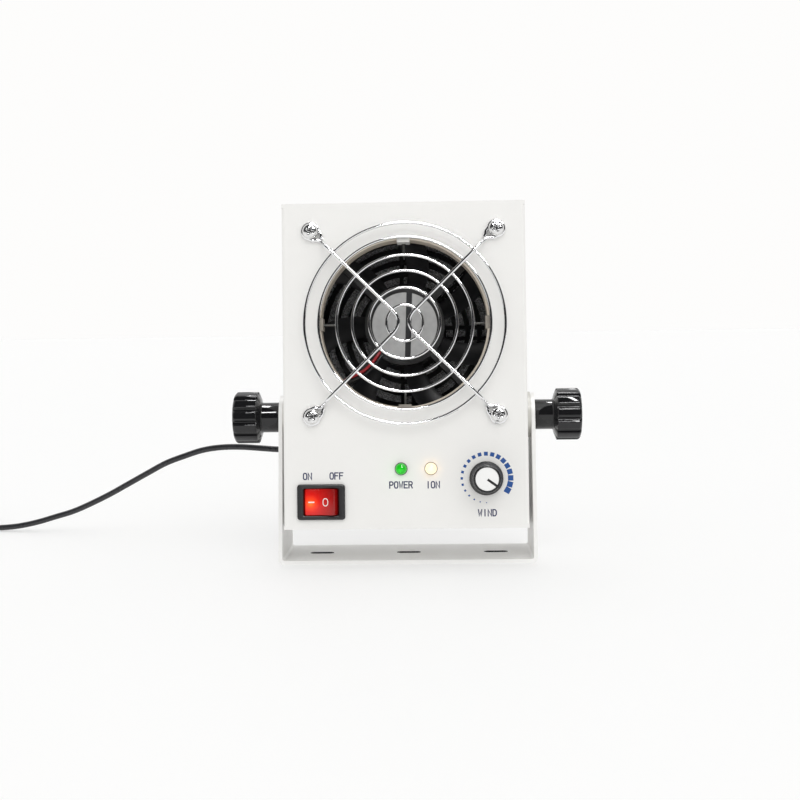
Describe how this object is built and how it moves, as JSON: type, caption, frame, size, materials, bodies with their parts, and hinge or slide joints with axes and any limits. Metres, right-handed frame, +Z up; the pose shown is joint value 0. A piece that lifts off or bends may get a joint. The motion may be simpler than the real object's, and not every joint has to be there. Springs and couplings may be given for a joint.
{
  "type": "ionizing blower",
  "caption": "Benchtop ionizing blower: sheet metal box with a guarded round outlet, emitter needles and an inner fan, tilting between clamp knobs on a slotted U bracket, with a coiled DC lead.",
  "frame": {"origin": "centre of the bracket's underside, straight below the tilt axis", "axes": "+Z up, -Y out of the air outlet, X along the tilt axis"},
  "size_m": [0.5213, 0.2432, 0.2073],
  "materials": {
    "powder_coat": "fine texture",
    "spacer_nylon": "smooth",
    "knob_gloss": "gloss",
    "zinc_steel": "zinc plated",
    "bright_wire": "bright plated",
    "beige_plastic": "matte",
    "white_plastic": "matte",
    "needle_metal": "ground",
    "lead_orange": "satin",
    "potting_grey": "matte",
    "fan_black": "satin",
    "bearing_steel": "ground",
    "winding_copper": "enamelled wire",
    "hub_foil": "satin",
    "wire_red": "satin",
    "magnet_grey": "matte",
    "board_green": "satin",
    "parts_grey": "matte",
    "knob_black": "satin",
    "lens_green": "clear tinted",
    "lens_amber": "clear tinted",
    "switch_black": "satin",
    "terminal_brass": "bright",
    "rocker_red": "clear tinted",
    "filter_black": "satin",
    "filter_foam": "open cell foam",
    "cord_sheath": "satin",
    "tie_black": "satin",
    "adapter_black": "fine texture"
  },
  "bodies": {
    "stand": {"bracket": "powder_coat", "pivot_spacers": "spacer_nylon", "cord_run": "cord_sheath", "cord_coil": "cord_sheath", "cord_tie": "tie_black", "cord_tail": "cord_sheath", "adapter_relief": "cord_sheath", "power_adapter": "adapter_black", "adapter_pins": "zinc_steel"},
    "blower": {"front_shell": "powder_coat", "rear_cover": "powder_coat", "cover_screws": "zinc_steel", "cover_nuts": "zinc_steel", "pivot_nuts": "zinc_steel", "fan_guard": "bright_wire", "guard_screws": "bright_wire", "guard_nuts": "zinc_steel", "emitter_frame": "beige_plastic", "needle_sockets": "white_plastic", "emitter_needles": "needle_metal", "hv_leads": "lead_orange", "hv_module": "potting_grey", "fan_frame": "fan_black", "fan_bearings": "bearing_steel", "fan_stator": "winding_copper", "fan_hub_cover": "hub_foil", "fan_wires": "wire_red", "control_board": "board_green", "board_parts": "parts_grey", "board_standoffs": "zinc_steel", "board_screws": "zinc_steel", "potentiometer": "parts_grey", "pot_nut": "zinc_steel", "power_lamp": "lens_green", "ion_lamp": "lens_amber", "switch_housing": "switch_black", "switch_terminals": "terminal_brass", "dc_jack": "switch_black", "jack_nut": "zinc_steel", "ground_terminal": "terminal_brass", "filter_base": "filter_black", "filter_screws": "zinc_steel", "filter_nuts": "zinc_steel", "filter_foam": "filter_foam", "filter_cover": "filter_black", "dc_plug": "cord_sheath", "plug_relief": "cord_sheath", "cord_lead": "cord_sheath"},
    "rotor": {"fan_impeller": "fan_black", "fan_magnet": "magnet_grey", "fan_shaft": "zinc_steel"},
    "rocker": {"rocker_button": "rocker_red"},
    "dial": {"pot_shaft": "zinc_steel", "speed_knob": "knob_black", "speed_knob_cap": "white_plastic"},
    "left_clamp": {"knob_left": "knob_gloss", "knob_left_stud": "zinc_steel"},
    "right_clamp": {"knob_right": "knob_gloss", "knob_right_stud": "zinc_steel"}
  },
  "joints": [
    {"name": "tilt", "type": "hinge", "parent": "stand", "child": "blower", "pos_m": [0, 0, 0.084], "axis": [-1, 0, 0], "range_deg": [-50, 35]},
    {"name": "fan_spin", "type": "hinge", "parent": "blower", "child": "rotor", "pos_m": [0, 0.00453, 0.1358], "axis": [0, -0.9962, 0.0872], "continuous": true},
    {"name": "power_rocker", "type": "hinge", "parent": "blower", "child": "rocker", "pos_m": [-0.0478, -0.03939, 0.03876], "axis": [0, 0.0872, 0.9962], "range_deg": [0, 18]},
    {"name": "speed_dial", "type": "hinge", "parent": "blower", "child": "dial", "pos_m": [0.0451, -0.0405, 0.0514], "axis": [0, 0.9962, -0.0872], "range_deg": [-300, 0]},
    {"name": "left_knob_turn", "type": "hinge", "parent": "blower", "child": "left_clamp", "pos_m": [0, 0, 0.084], "axis": [-1, 0, 0], "range_deg": [0, 270]},
    {"name": "right_knob_turn", "type": "hinge", "parent": "blower", "child": "right_clamp", "pos_m": [0, 0, 0.084], "axis": [1, 0, 0], "range_deg": [0, 270]}
  ]
}
